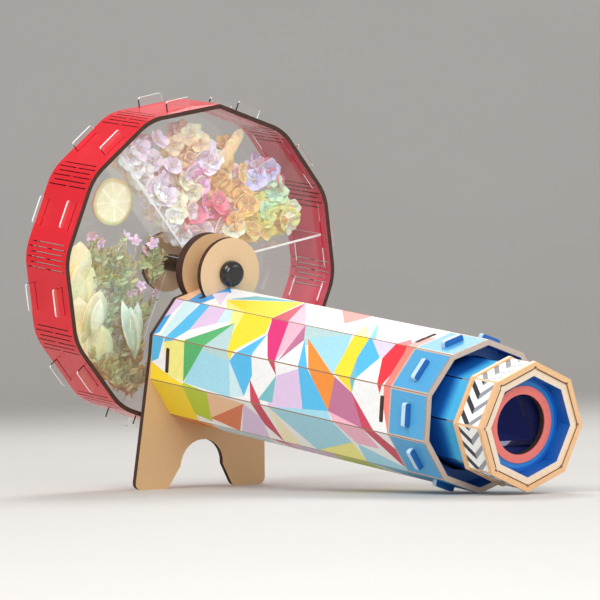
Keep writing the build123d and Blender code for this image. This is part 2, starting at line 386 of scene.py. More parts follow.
def tab_loop(angle, length, start_r, end_r, rounding=0.0):
    """A tab that stands out at an angle, with its outer corners rounded."""
    half = length / 2
    loop = [(start_r, -half), (end_r - rounding, -half)]
    if rounding:
        loop += arc(rounding, -90, 0, (end_r - rounding, -half + rounding), 30)[1:]
        loop += arc(rounding, 0, 90, (end_r - rounding, half - rounding), 30)
    else:
        loop += [(end_r, half)]
    loop += [(start_r, half)]
    c, s = math.cos(math.radians(angle)), math.sin(math.radians(angle))
    return [(x * c - y * s, x * s + y * c) for x, y in loop]


class Wrap:
    """Board bent round a regular polygon, as long as the CAD node that it replaces.

    a runs round the polygon from its first corner and b runs along it.
    """

    def __init__(self, node, corner_r, sides, thickness, panels=None, first_corner=90.0,
                 direction=1, drop=tube_drop, groove=0.0, bend=0.0):
        self.node = node
        self.corner_r = corner_r
        self.sides = sides
        self.thickness = thickness
        self.panels = panels or sides
        self.first = first_corner
        self.direction = direction
        self.drop = drop
        self.groove = groove
        self.bend = bend
        self.start, self.end = z_range(node)
        self.panel = 2 * corner_r * math.sin(math.pi / sides)
        self.inner_r = corner_r - thickness / math.cos(math.pi / sides)

    def corner(self, number, radius):
        angle = self.first + self.direction * 360.0 / self.sides * number
        return turned(radius, angle, self.drop)

    def __call__(self, a, b, depth):
        number = math.floor(a / self.panel + 1e-6)
        share = a / self.panel - number
        radius = self.corner_r + (self.inner_r - self.corner_r) * depth / self.thickness
        start, end = self.corner(number, radius), self.corner(number + 1, radius)
        if self.groove and share * self.panel < 0.05 and depth == 0:
            start = self.corner(number, radius - self.groove)
        flat = start.lerp(end, share)
        if self.bend:
            flat = self.rounded(flat, share * self.panel, radius, number)
        return Vector((flat.x, flat.y, b))

    def rounded(self, flat, distance, radius, number):
        """Moves a point near a corner onto an arc that bends the corner softly."""
        to_corner = min(distance, self.panel - distance)
        if to_corner >= self.bend:
            return flat
        nearest = number if distance < self.panel / 2 else number + 1
        half = math.pi / self.sides
        arc_r = self.bend / math.tan(half)
        centre = self.corner(nearest, radius - self.bend / math.sin(half))
        spoke = (self.corner(nearest, radius) - centre).normalized()
        sign = 1 if nearest == number else -1
        angle = self.direction * sign * half * to_corner / self.bend
        c, s = math.cos(angle), math.sin(angle)
        return centre + Vector((spoke.x * c - spoke.y * s, spoke.x * s + spoke.y * c)) * arc_r

    def round_strip(self, b0, b1):
        """The part of the board between two places along it."""
        return rectangle(0, b0, self.panels * self.panel, b1)

    def seams(self, b0, b1, half_width, colour):
        """Strips of bare board at the corners."""
        return [(colour, rectangle(k * self.panel - half_width, b0,
                                   k * self.panel + half_width, b1))
                for k in range(self.panels + 1)]

    def build(self, body, ground, slot, creases=(), **options):
        corners = [((k * self.panel, self.start), (k * self.panel, self.end))
                   for k in range(1, self.panels)]
        board_piece(self.node, body, [self.round_strip(self.start, self.end)], self,
                    self.thickness, ground, slot, creases=creases or corners, **options)


# ---- drum ----
drum_r = 75.0
drum_sides = 12
drum_top = 86.5
drum_apothem = drum_r * math.cos(math.pi / drum_sides)
panel_angle = 360.0 / drum_sides
rim_board = 2.0
rim_bend = 6.5
slit = 0.5
slit_offsets = (-6.0, -3.6, -1.2, 1.2, 3.6, 6.0)
tab_half = 6.25
tab_out = 4.7
tab_rounding = 0.8
tab_root = 6.0
white_tip = 0.9
slit_inset = 0.12
slit_margin = 1.6
bridge = (0.47, 0.53)
fit_gap = 0.1
spacer_r = 4.3
window_hole_r = 3.0
axle_hole_r = 3.05
drum_low, drum_high = z_range("rim_strip_a")
window_backs = [z_range(node)[0] for node in ("rear_window", "front_window")]
window_sheet = z_range("front_window")[1] - window_backs[1]
# Clear sheets whose white cut edges carry a painted highlight.
SEE_THROUGH = {"ground": WHITE, "materials": (CLEAR, CLEAR, FROSTED_AND_HIGHLIT_EDGE), "shadow": False}
divider_angles = [drum_top + 1.5 * panel_angle + 120.0 * k for k in range(3)]


def rim_strip(node, first_panel):
    """Six panels of the rim, slit across at each corner so that the board bends there."""
    wrap = Wrap(node, drum_r, drum_sides, rim_board, drum_sides // 2,
                drum_top + panel_angle * first_panel, drop=0.0, bend=rim_bend)
    holes, creases = [], []
    slot_half = tab_half + 0.15
    for k in range(wrap.panels):
        middle = (k + 0.5) * wrap.panel
        for back in window_backs:
            holes.append(rectangle(middle - slot_half, back - fit_gap,
                                   middle + slot_half, back + window_sheet + fit_gap))
    width = drum_high - drum_low
    bridged = [(drum_low + slit_margin, drum_low + width * bridge[0]),
               (drum_low + width * bridge[1], drum_high - slit_margin)]
    whole = [(drum_low + width * slit_inset, drum_high - width * slit_inset)]
    for k in range(1, wrap.panels):
        for number, offset in enumerate(slit_offsets):
            a = k * wrap.panel + offset
            for low, high in bridged if number % 2 else whole:
                holes.append(rectangle(a - slit / 2, low, a + slit / 2, high))
            for crease in (a + 1.2, a):
                creases.append(((crease, drum_low), (crease, drum_high)))

    def in_slot(a, b):
        from_middle = abs((a / wrap.panel) % 1.0 - 0.5) * wrap.panel
        return from_middle < tab_half + 0.2 and drum_low + 1 < b < drum_high - 1

    wrap.build("drum", RIM_RED, "rim_red", creases, back=RIM_INSIDE, holes=holes,
               faced_edge=in_slot, materials=(GLOSS_RED, GLOSS_RED, BURNT_EDGE))


def window(node):
    """A clear sheet whose tabs reach out through the rim; only the tabs' ends look white."""
    rim_inside = (drum_apothem - rim_board - fit_gap) / math.cos(math.pi / drum_sides)
    tabs = [tab_loop(drum_top + panel_angle * (k + 0.5), 2 * tab_half, drum_apothem - tab_root,
                     drum_apothem + tab_out, tab_rounding) for k in range(drum_sides)]

    def not_tab_end(a, b):
        return math.hypot(a, b) < drum_apothem + tab_out - white_tip

    plate(node, "drum", [polygon_loop(rim_inside, drum_sides, drum_top), *tabs],
          name=f"{node}_sheet", holes=[circle(window_hole_r, step=8)],
          faced_edge=not_tab_end, slot="clear_sheet", **SEE_THROUGH)


def divider(node, angle):
    """A clear strip from the hub to the middle of a rim panel, with pale cut edges."""
    out, across = turned(1, angle), turned(1, angle + 90)

    def stood(a, b, depth):
        flat = out * a + across * (window_sheet / 2 - depth)
        return Vector((flat.x, flat.y, b))

    back, front = z_range(node)
    board_piece(node, "drum", [rectangle(spacer_r, back, drum_apothem - rim_board, front)],
                stood, window_sheet, slot="divider_sheet", name=f"{node}_strip",
                **SEE_THROUGH)


rim_strip("rim_strip_a", 0)
rim_strip("rim_strip_b", 6)
window("front_window")
window("rear_window")
for k, angle in enumerate(divider_angles):
    divider(f"divider_{k + 1}", angle)
give(BLACK, "hub_spacer", "drum_spacer", "axle", "axle_knob", "axle_rear_cap")
for node, radius, material in (("hub_disc_front", 11.0, BOARD),
                               ("hub_disc_rear", 14.0, PALE_BOARD)):
    plate(node, "drum", [circle(radius)], holes=[circle(window_hole_r, step=10)], ground=TAN,
          materials=(material, PALE_BOARD, BURNT_EDGE), slot="pale_board")


# ---- stand ----
tube_r = 32.2
tube_sides = 10
sleeve_r = 24.0
sleeve_sides = 8
sleeve_board = 2.8
sleeve_hole_r = sleeve_r - sleeve_board / math.cos(math.pi / sleeve_sides)
sight_r = sleeve_hole_r - 1.5
eye_hole_r = 12.5
eye_ring_r = 16.0
hub_r = 16.5
hub_end = 39.3
waist = 31.0
foot_y, foot_outer, foot_inner, foot_rounding = -98.3, 35.8, 17.8, 3.0
arch_y, arch_r = -88.1, 11.6
BOTH_BOARD = {"ground": TAN, "materials": (BOARD, BOARD, BURNT_EDGE), "slot": "plain_board"}


def round_off(loop, radii):
    """Rounds the corners of a loop that have a radius."""
    rounded = []
    for k, (point, radius) in enumerate(zip(loop, radii)):
        here = Vector(point)
        if not radius:
            rounded.append(point)
            continue
        before = (Vector(loop[k - 1]) - here).normalized()
        after = (Vector(loop[(k + 1) % len(loop)]) - here).normalized()
        half = before.angle(after) / 2
        reach = radius / math.tan(half)
        centre = here + (before + after).normalized() * (radius / math.sin(half))
        start, end = here + before * reach - centre, here + after * reach - centre
        for step in range(7):
            spoke = start.lerp(end, step / 6).normalized() * radius
            rounded.append(tuple(centre + spoke))
    return rounded


def stand_loop():
    """Round hub, shoulders round the tube, splayed sides, an arch and two feet."""
    right = [tuple(turned(tube_r, 54, tube_drop)), tuple(turned(tube_r, 18, tube_drop)),
             (waist, -tube_drop), (foot_outer, foot_y), (foot_inner, foot_y), (arch_r, arch_y)]
    left = [(-x, y) for x, y in reversed(right)]
    arch = arc(arch_r, 0, 180, (0, arch_y), 12)[1:-1]
    radii = [0, 0, 0, foot_rounding, foot_rounding, 0]
    radii = radii + [0] * len(arch) + radii[::-1]
    return round_off(right + arch + left, radii) + arc(hub_r, 180 + hub_end, -hub_end)


plate("stand_plate", "stand", [stand_loop()],
      holes=[circle(sight_r, (0, -tube_drop)), circle(axle_hole_r, step=10)], **BOTH_BOARD)
plate("hub_backing_disc", "stand", [circle(hub_r)], name="hub_backing_board",
      holes=[circle(axle_hole_r, step=10)], **BOTH_BOARD)


# ---- tube ----
tube_board = 2.5
tube_apothem = tube_r * math.cos(math.pi / tube_sides)
plug_r = tube_r - tube_board / math.cos(math.pi / tube_sides) - fit_gap
seam_groove = 0.4
former_slot = (11.3, 2.7)
lug_slot_half = former_slot[1] / 2
collar_board = 2.3
collar_slot = (10.8, 2.9)
collar_tab_out = 2.6
lug_r = 16.0
ALL_PRINT = (PRINT, PRINT, PRINT)


def former(node, tab_angles, tab_length, tab_end, materials, lug=0.0, rounding=0.0, **options):
    """A ten-sided plate inside the tube, with tabs through it and sometimes the axle's lug."""
    outlines = [polygon_loop(plug_r, tube_sides, 90)]
    outlines += [tab_loop(a, tab_length, tube_apothem / 1.25, tab_end, rounding)
                 for a in tab_angles]
    holes = [circle(sleeve_r + 0.05)]
    if lug:
        outlines.append(circle(lug, (0, tube_drop)))
        holes.append(circle(axle_hole_r, (0, tube_drop), 10))
    plate(node, "stand", outlines, tube_drop, holes=holes, materials=materials, **options)


for node, lug in (("tube_former_rear", lug_r), ("tube_former_front", 0.0)):
    former(node, [108 + 72 * k for k in range(5)], 11.0, tube_apothem,
           (PALE_BOARD, PALE_BOARD, BURNT_EDGE), lug, ground=PALE_TAN, slot="pale_board")
# Its faces carry painted shade in TAB_SHADE, and its cut edges a pale blue that is painted light
# on the tabs standing out of the collar.
former("collar_former", [108 + 36 * k for k in range(10)], 10.0, tube_apothem + collar_tab_out,
       ALL_PRINT, rounding=1.0, ground=TAB_SHADE, back=TAB_SHADE, edge=TAB_LIT_EDGE,
       slot="plain_board")
plate("locating_ring", "stand", [polygon_loop(plug_r, tube_sides, 90)], tube_drop,
      holes=[circle(sight_r)], ground=TAN, materials=(BOARD, PALE_BOARD, BURNT_EDGE),
      slot="plain_board")

# The print on the tube: each shape is a colour and its corners, as a share of the tube's length
# from the stand and panels counted down from the top corner.
PATTERN = [
    (PEACH, (0, 0), (.05, 0), (.08, .6), (.07, 1), (0, 1)),
    (BLUE, (.02, .1), (.08, 0), (.12, .2), (.11, 1), (.05, 1)),
    (LAVENDER, (.07, .45), (.11, .2), (.18, .9)),
    (TEAL, (.16, .55), (.22, .15), (.40, 0)),
    (YELLOW, (.16, .6), (.40, 0), (.42, 1), (.43, 1.4), (.36, 1.9), (.34, 2.2), (.27, 1.3)),
    (PALE_YELLOW, (.16, .6), (.30, 1.0), (.31, 1.8), (.27, 1.3)),
    (LILAC, (0, 1), (.04, 1), (.02, 1.4), (0, 1.5)),
    (BLUE, (0, 1.5), (.02, 1.4), (.02, 1.9), (0, 2)),
    (PALE_AQUA, (.04, 1), (.10, 1), (.08, 1.9), (.03, 2.1)),
    (SKY, (.11, 1), (.15, 1), (.13, 1.7), (.08, 2.1), (.05, 2.1)),
    (LILAC, (.15, 1), (.22, 1), (.22, 1.4), (.13, 1.7)),
    (PALE_AQUA, (.22, 1), (.25, 1), (.27, 1.3), (.22, 1.4)),
    (GREY_AQUA, (.29, 1.3), (.34, 2.2), (.20, 2.2)),
    (AQUA, (.20, 2.1), (.34, 2.2), (.35, 3), (.15, 2.9)),
    (GREEN, (.29, 1.3), (.14, 1.95), (.145, 2.9)),
    (PALE_YELLOW, (.05, 2.1), (.14, 1.95), (.145, 2.9), (.07, 2.8)),
    (SKY, (0, 2), (.05, 2), (.03, 2.5), (0, 2.6)),
    (YELLOW, (0, 2.6), (.07, 2.8), (.15, 2.95), (.13, 4), (0, 4)),
    (LIME, (.145, 2.9), (.25, 3), (.20, 3.9), (.13, 3.8)),
    (PEACH, (.25, 3), (.41, 3.1), (.20, 3.8)),
    (BURNT_ORANGE, (.20, 3.8), (.40, 3.1), (.31, 4)),
    (LILAC, (.40, 3.1), (.45, 3.4), (.44, 4), (.32, 4)),
    (SKY, (.44, 1.4), (.34, 2.2), (.41, 2.9), (.44, 2.4), (.43, 1.9)),
    (PALE_AQUA, (.34, 2.2), (.41, 2.9), (.35, 3)),
    (CRIMSON, (.41, 0), (.42, 1.05), (.49, 1.05)),
    (PINK, (.41, 0), (.56, 1), (.49, 1.05)),
    (MAGENTA, (.42, 1), (.49, 1), (.53, 2), (.49, 1.9), (.44, 1.4)),
    (PINK, (.49, 1), (.56, 1), (.57, 1.2), (.53, 2)),
    (MAUVE, (.56, 1), (.59, 1.35), (.54, 2)),
    (CRIMSON, (.49, 1.9), (.53, 2), (.54, 2.3)),
    (CORAL, (.56, 0), (.69, 0), (.66, .6)),
    (LILAC, (.69, 0), (.93, 0), (.97, .7), (.83, 1)),
    (GREY_AQUA, (.56, 1), (.75, 1), (.60, 1.5)),
    (AQUA, (.60, 1.3), (.75, 1), (.78, 1.7), (.77, 2)),
    (YELLOW, (.76, 1), (.82, 1), (.85, 2.3), (.77, 1.95)),
    (PALE_YELLOW, (.72, .4), (.82, 1), (.76, 1)),
    (SKY, (.74, .2), (.90, 1.4), (.86, 2), (.82, 1.5), (.82, 1)),
    (LAVENDER, (.83, 1), (.99, .9), (.92, 1.3), (.90, 1.4)),
    (TEAL, (.82, 1.5), (.86, 2), (.85, 2.3)),
    (ORANGE, (.60, 1.3), (.78, 2.05), (.76, 2.8), (.69, 2.2)),
    (SKY, (.63, 2.05), (.59, 1.35), (.69, 2.2), (.76, 2.8), (.66, 3)),
    (LILAC, (.54, 2.3), (.63, 2.05), (.66, 3), (.51, 3)),
    (TEAL, (.54, 2.3), (.53, 2.9), (.47, 2.9)),
    (CRIMSON, (.43, 2.5), (.48, 2.95), (.50, 4), (.45, 3.6)),
    (MAUVE, (.78, 2.05), (.85, 2.3), (.90, 3), (.76, 2.8)),
    (CRIMSON, (.85, 2.3), (1, 3.4), (1, 3.9), (.90, 3)),
    (RED, (.94, .7), (.91, 1.4), (.96, 2.2), (1, 1)),
    (CORAL, (.96, .5), (1, .4), (1, 3), (.975, 2.4), (.975, 1.2)),
    (CREAM, (.51, 3), (.58, 4), (.50, 4)),
    (AQUA, (.51, 3), (.76, 2.8), (.82, 3.5), (.64, 4)),
    (PALE_YELLOW, (.64, 4), (.82, 3.5), (.84, 4)),
    (PINK, (.76, 2.8), (.90, 3), (.93, 3.5), (.84, 3.5)),
    (AQUA, (.84, 3.5), (1, 3.9), (1, 4), (.84, 4)),
    (ORANGE, (0, 4), (.18, 4), (.08, 5), (0, 5)),
    (PALE_AQUA, (.18, 4), (.44, 4), (.30, 5), (.08, 5)),
    (MAGENTA, (.44, 4), (.50, 4), (.42, 5)),
    (LILAC, (.50, 4), (.70, 4), (.60, 5), (.42, 5)),
    (LIME, (.70, 4), (.84, 4), (.80, 5), (.60, 5)),
    (SKY, (.84, 4), (1, 4), (1, 5), (.90, 5)),
]


def tube_wrap(node, direction, slot_panels, lug_half):
    """Five printed panels, with bare board at their joints and slots for the formers.

    The panels that run the other way round carry the print the other way about.
    """
    wrap = Wrap(node, tube_r, tube_sides, tube_board, tube_sides // 2, direction=direction,
                groove=seam_groove)

    def laid(corner):
        share, panel = corner
        if direction < 0:
            share, panel = 1 - share, wrap.panels - panel
        return (panel * wrap.panel, wrap.start + share * (wrap.end - wrap.start))

    paint = [(colour, [laid(c) for c in corners]) for colour, *corners in PATTERN]
    paint += wrap.seams(wrap.start, wrap.end, 0.28, SEAM_TAN)
    rear, front = z_middle("tube_former_rear"), z_middle("tube_former_front")
    holes = [round_slot(panel * wrap.panel, middle, *former_slot)
             for panel in slot_panels for middle in (rear, front)
             if not (middle == rear and panel == 0.5)]
    holes.append(rectangle(-1.0, rear - lug_slot_half, lug_half, rear + lug_slot_half))
    wrap.build("stand", WHITE, "tube_print", holes=holes, paint=paint)


def collar():
    wrap = Wrap("collar_band", tube_r, tube_sides, collar_board, groove=seam_groove)
    start, end = wrap.start, wrap.end
    middle = z_middle("collar_former")
    holes = [round_slot((k + 0.5) * wrap.panel, middle, *collar_slot)
             for k in range(tube_sides)]
    trim, rear_trim = 0.75, 0.9
    paint = [(SEAM_TAN, wrap.round_strip(end - trim, end)),
             (PALE_SEAM, wrap.round_strip(start, start + rear_trim))]
    paint += wrap.seams(start, end, trim, PALE_SEAM)
    paint += wrap.seams(start, end, 0.18, SEAM_TAN)
    wrap.build("stand", COLLAR_BLUE, "collar_blue", back=DEEP_BLUE, edge=PALE_SEAM,
               holes=holes, paint=paint, materials=ALL_PRINT)


tube_wrap("tube_wrap_left", 1, (0.5, 2.5, 4.5), 15.6)
tube_wrap("tube_wrap_right", -1, (1.5, 3.5), 13.0)
collar()


# ---- eyepiece ----
def sleeve():
    wrap = Wrap("inner_sleeve", sleeve_r, sleeve_sides, sleeve_board, groove=seam_groove)
    collar_end = z_range("collar_band")[1]
    # Painted shade: the sleeve darkens towards the collar in steps from INNER_BLUE to SLEEVE_BLUE,
    # and its seams there are painted dark.
    painted_shade_end, shade_fade_end = collar_end - 1.0, collar_end + 5.0
    shades = 12
    rise = (shade_fade_end - painted_shade_end) / shades
    paint = [(blended(INNER_BLUE, SLEEVE_BLUE, ((k + 0.5) / shades) ** 1.5),
              wrap.round_strip(painted_shade_end + rise * k, painted_shade_end + rise * (k + 1)))
             for k in range(shades)]
    paint.append((INNER_BLUE, wrap.round_strip(wrap.start, painted_shade_end)))
    paint += wrap.seams(wrap.start, shade_fade_end, 0.35, SHADED_SEAM)
    paint += wrap.seams(shade_fade_end, wrap.end, 0.3, SEAM_TAN)
    wrap.build("eyepiece", SLEEVE_BLUE, "sleeve_blue", back=INNER_BLUE, edge=LINING,
               paint=paint, materials=ALL_PRINT)


def clipped(polygon, low, high):
    """The part of a polygon whose first coordinates lie between low and high."""
    for limit, sign in ((low, 1), (high, -1)):
        kept = []
        for p, q in zip(polygon, polygon[1:] + polygon[:1]):
            p_in, q_in = sign * (p[0] - limit) >= 0, sign * (q[0] - limit) >= 0
            if p_in:
                kept.append(p)
            if p_in != q_in:
                share = (limit - p[0]) / (q[0] - p[0])
                kept.append((limit, p[1] + (q[1] - p[1]) * share))
        polygon = kept
    return polygon


def chevron(arms, low, high, reach=5.0, stroke=2.8):
    """An arrow across the band, as a dark half and a slimmer grey half."""
    centre = (low + high) / 2
    tip = arms + reach
    slim = 0.8 * stroke
    point = [(tip + stroke, centre), (tip, centre)]
    return [(CHARCOAL, [(arms, low), (arms + stroke, low), *point]),
            (GREY, [(arms, high), (arms + slim, high), *point])]


def chevron_band():
    """Three and a bit arrows to a panel, all pointing the same way round."""
    outer_r = corner_radius("eyepiece_band")
    thickness = (outer_r - sleeve_r) * math.cos(math.pi / sleeve_sides)
    wrap = Wrap("eyepiece_band", outer_r, sleeve_sides, thickness, groove=0.3)
    start, end = wrap.start, wrap.end
    border = 0.45
    pitch = 0.315 * wrap.panel
    paint = []
    for panel in range(sleeve_sides):
        low, high = (panel + 0.03) * wrap.panel, (panel + 0.97) * wrap.panel
        for k in range(-1, 3):
            arms = low + 0.3 + pitch * k
            for colour, shape in chevron(arms, start + border, end - border):
                shape = clipped(shape, low, high)
                if shape:
                    paint.append((colour, shape))
    paint += [(FRAME_TAN, wrap.round_strip(start, start + border)),
              (FRAME_TAN, wrap.round_strip(end - border, end))]
    paint += wrap.seams(start, end, 0.5, FRAME_TAN)
    wrap.build("eyepiece", WHITE, "band_print", back=LINING, paint=paint,
               materials=(PRINT, PRINT, BURNT_EDGE))


def octagon(corner_r):
    return polygon_loop(corner_r, sleeve_sides, 90)


def octagon_frame(node, notches=(), paint=()):
    """A ring of tan board round the sleeve; a burnt line may follow its hole."""
    plate(node, "eyepiece", [octagon(corner_radius(node))], tube_drop,
          holes=[octagon(sleeve_r), *notches], ground=FRAME_TAN, edge=FRAME_TAN,
          materials=(PRINT, PALE_BOARD, PRINT), paint=paint, slot="frame_tan")


sleeve()
chevron_band()
notch_r = 0.9
octagon_frame("eyepiece_frame_front",
              notches=[circle(notch_r, corner, 15) for corner in octagon(sleeve_r + 0.1)],
              paint=[(BURNT, octagon(sleeve_r + 0.5))])
octagon_frame("eyepiece_frame_back")
eye_hole = circle(eye_hole_r, step=3)
plate("eye_plate", "eyepiece", [octagon(sleeve_hole_r)], tube_drop, ground=EYE_BLUE,
      holes=[eye_hole], slot="eye_blue",
      paint=[(blue, circle(r, step=3)) for blue, r in zip(EYE_RINGS, (20.5, 19.5, 18.0))])
plate("eye_ring", "eyepiece", [circle(eye_ring_r, step=3)], tube_drop, name="eye_ring_print",
      holes=[eye_hole], ground=SALMON, edge=SALMON, materials=(PRINT, PALE_BOARD, PRINT),
      slot="ring_salmon")
give(MIRROR, "mirror_1", "mirror_2", "mirror_3")
give(NAVY_BOARD, "collar_coupler", "mirror_holder_rear", "mirror_holder_front")
give(PALE_BOARD, "sleeve_stop_rear", "sleeve_stop_front")


# ---- dried plants in the drum ----
class Heap:
    """Petals and leaves gathered into one piece."""

    def __init__(self, seed):
        self.vertices, self.faces, self.colours = [], [], []
        self.chance = random.Random(seed)

    def petal(self, base, out, normal, length, width, cup, near, far, point=0.0, curl=0.25,
              root=0.12):
        """A curved petal or leaf that grows from base in the direction out."""
        out, normal = out.normalized(), normal.normalized()
        across = normal.cross(out).normalized()
        rows, columns = 5, 4
        first = len(self.vertices)
        for row in range(rows + 1):
            u = row / rows
            spread = math.sin(math.pi * min(1.0, root + (1 - root) * u)) ** (0.55 + point)
            half = width / 2 * max(spread, 0.06 if row < rows else 0.02)
            for column in range(columns + 1):
                v = 2 * column / columns - 1
                lift = cup * length * u * u + curl * half * v * v
                here = base + out * (length * u) + across * (half * v) + normal * lift
                self.vertices.append(to_row(here))
        for row in range(rows):
            for column in range(columns):
                a = first + row * (columns + 1) + column
                self.faces.append((a, a + 1, a + columns + 2, a + columns + 1))
                self.colours.append(blended(near, far, (row + 0.5) / rows))

    def floret(self, centre, normal, radius, petals, near, far, cup, narrow=5.2):
        """A flower of a few petals about a small seed head."""
        normal = normal.normalized()
        start = normal.orthogonal().normalized()
        turn = self.chance.uniform(0, 360)
        for k in range(petals):
            angle = math.radians(turn + 360.0 * k / petals + self.chance.uniform(-8, 8))
            out = Matrix.Rotation(angle, 3, normal) @ start
            size = radius * self.chance.uniform(0.85, 1.12)
            self.petal(centre, out, normal, size, size * narrow / petals, cup, near, far)
        self.bead(centre + normal * 0.4, 0.08 * radius + 0.25)

    def tube(self, rings, colour):
        """A skin over rings of points, one after the other."""
        first, count = len(self.vertices), len(rings[0])
        self.vertices += [to_row(point) for ring in rings for point in ring]
        for level in range(len(rings) - 1):
            for k in range(count):
                a, b = first + count * level + k, first + count * level + (k + 1) % count
                self.faces.append((a, b, b + count, a + count))
                self.colours.append(colour)

    def bead(self, centre, radius):
        """A small six-sided seed head."""
        angles = [math.radians(60 * k) for k in range(6)]
        self.tube([[centre + Vector((math.cos(a) * r, math.sin(a) * r, z)) * radius
                    for a in angles] for z, r in ((-1.0, 0.0), (-0.4, 0.9), (0.5, 0.8),
                                                  (1.0, 0.0))], SEED_HEAD)

    def stem(self, points, radius, colour):
        rings = []
        for k, point in enumerate(points):
            ahead = points[min(k + 1, len(points) - 1)] - points[max(k - 1, 0)]
            one = ahead.orthogonal().normalized()
            two = ahead.cross(one).normalized()
            rings.append([point + (one * math.cos(a) + two * math.sin(a)) * radius
                          for a in (math.pi / 2 * corner for corner in range(4))])
        self.tube(rings, colour)

    def tilted(self, amount):
        """A direction that leans away from the windows' axis."""
        between = self.chance.uniform
        return Vector((between(-amount, amount), between(-amount, amount), 1.0))

    def sprig(self, foot, direction, length, leaf, colours, leaves):
        """A bent stem with leaves on both sides."""
        between = self.chance.uniform
        bend = Vector((between(-1, 1), between(-1, 1), 0)) * 0.3
        heading = direction.normalized()
        points = [foot]
        steps = 8
        for k in range(steps):
            heading = (heading + bend / steps).normalized()
            points.append(points[-1] + heading * (length / steps))
        self.stem(points, 0.35, colours[0])
        for k in range(leaves):
            share = 0.12 + 0.88 * k / leaves
            at = share * steps
            low = int(min(at, steps - 1))
            here = points[low].lerp(points[low + 1], at - low)
            heading = (points[low + 1] - points[low]).normalized()
            normal = Vector((between(-.5, .5), between(-.5, .5), 1)).normalized()
            sideways = normal.cross(heading).normalized() * (1 if k % 2 else -1)
            out = (heading * 0.8 + sideways + normal * between(-.3, .3)).normalized()
            colour = self.chance.choice(colours)
            size = leaf * between(0.7, 1.15) * (1.1 - 0.4 * share)
            self.petal(here, out, normal, size, size * 0.42, 0.05, colour,
                       tuple(min(1.0, c * 1.25) for c in colour), 0.35)

    def build(self, name, node, thickness=0.25):
        """The gathered pieces as one thin piece that rides on the drum."""
        piece = painted_piece(name, self.vertices, self.faces, self.colours, PLANT)
        for polygon in piece.data.polygons:
            polygon.use_smooth = True
        solid = piece.modifiers.new("thickness", "SOLIDIFY")
        solid.thickness = thickness * MM
        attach(piece, "drum")
        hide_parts(node)


plant_gap = 1.5
plant_back = z_range("rear_window")[1] + plant_gap
plant_front = z_range("front_window")[0] - plant_gap


def deeper(colour, share=0.88):
    """A warmer, darker tone of a petal's colour for its throat."""
    return (colour[0] * (0.6 + 0.4 * share), colour[1] * share, colour[2] * share, 1.0)


def kept_in(spot, first_divider, clearance, reach):
    """Moves a point into its compartment, clear of the dividers and the rim."""
    low = divider_angles[first_divider]
    high = low + 120.0
    for angle, sign in ((low, 1), (high, -1)):
        normal = turned(1, angle + 90) * sign
        short = clearance - normal.dot(spot.xy)
        if short > 0:
            spot = spot + normal.to_3d() * short
    length = math.hypot(spot.x, spot.y)
    if length > reach:
        spot = Vector((spot.x * reach / length, spot.y * reach / length, spot.z))
    return spot


def flower_heap():
    """Florets that fill the top compartment: white at its left wall, orange and yellow right.

    Each group is a colour, then the middles (x, y) of the places that it fills.
    """
    heap = Heap(7)
    chance, between = heap.chance, heap.chance.uniform
    white, blush = rgb(255, 250, 246), rgb(255, 224, 224)
    lilac, violet = rgb(252, 226, 240), rgb(224, 212, 250)
    peach, apricot = rgb(255, 218, 184), rgb(255, 204, 146)
    pink, rose = rgb(250, 178, 222), rgb(250, 136, 160)
    cream, butter = rgb(255, 246, 212), rgb(252, 230, 136)
    mint, lime = rgb(204, 240, 200), rgb(238, 238, 156)
    wall = turned(1, divider_angles[0])
    groups = [
        (white, [tuple(wall * (15 + 5.5 * k)) for k in range(9)]
         + [(-27, 40), (-20, 31), (-15, 25), (-9, 18), (-15, 20)]),
        (lilac, [(-31, 53), (-23, 47), (-16, 41), (-24, 57), (-13, 33), (-20, 38), (-12, 46)]),
        (peach, [(-13, 55), (-5, 59), (-6, 50), (-1, 54), (3, 57)]),
        (cream, [(-2, 61), (-8, 31), (1, 33), (-10, 24), (4, 40), (-5, 38)]),
        (lilac, [(5, 49), (8, 45), (-3, 44)]),
        (pink, [(3, 41), (6, 36), (1, 45), (4, 22), (8, 27)]),
        (apricot, [(17, 52), (20, 46), (16, 40), (18, 35)]),
        (white, [(10, 50), (12, 44)]),
        (rose, [(15, 29), (11, 26), (18, 25), (-4, 18), (0, 23)]),
        (blush, [(8, 17), (14, 17), (2, 15), (-2, 27)]),
        (apricot, [(27, 40), (29, 33), (25, 29), (32, 27), (23, 22), (34, 36), (27, 22)]),
        (violet, [(39, 45), (42, 41), (37, 40)]),
        (mint, [(46, 38), (45, 31), (50, 34), (42, 27)]),
        (lime, [(51, 26), (46, 23), (54, 21), (41, 21), (50, 19)]),
        (butter, [(35, 19), (30, 15), (43, 16), (37, 25)]),
        (apricot, [(41, 17), (47, 18), (35, 14)]),
        (cream, [(57, 27), (56, 21), (26, 14), (20, 14)]),
        (rose, [(46, 42), (50, 37), (43, 47)]),
    ]
    others = [white, blush, peach, cream, lilac]
    for colour, places in groups:
        for x, y in places:
            for layer in range(3):
                depth = plant_back + 3 + (plant_front - plant_back - 6) * (layer + 0.5) / 3
                spot = Vector((x + between(-2.5, 2.5), y + between(-2.5, 2.5),
                               depth + between(-1, 1)))
                size = between(4.4, 6.4)
                spot = kept_in(spot, 2, size + 0.5, 60.5)
                tone = colour if layer == 2 or chance.random() < 0.6 else chance.choice(others)
                heap.floret(spot, heap.tilted(0.8), size, chance.choice([4, 5, 5, 6]),
                            deeper(tone), tone, between(0.15, 0.45))
    for k in range(5):
        heap.petal(Vector((15 + k, 44 + 2.5 * k, plant_front - 3)), Vector((0.15 * k - 0.1, 1, 0)),
                   heap.tilted(0.4), 9, 6, 0.2, deeper(apricot), peach)
    heap.build("flower_heap", "petal_fill")


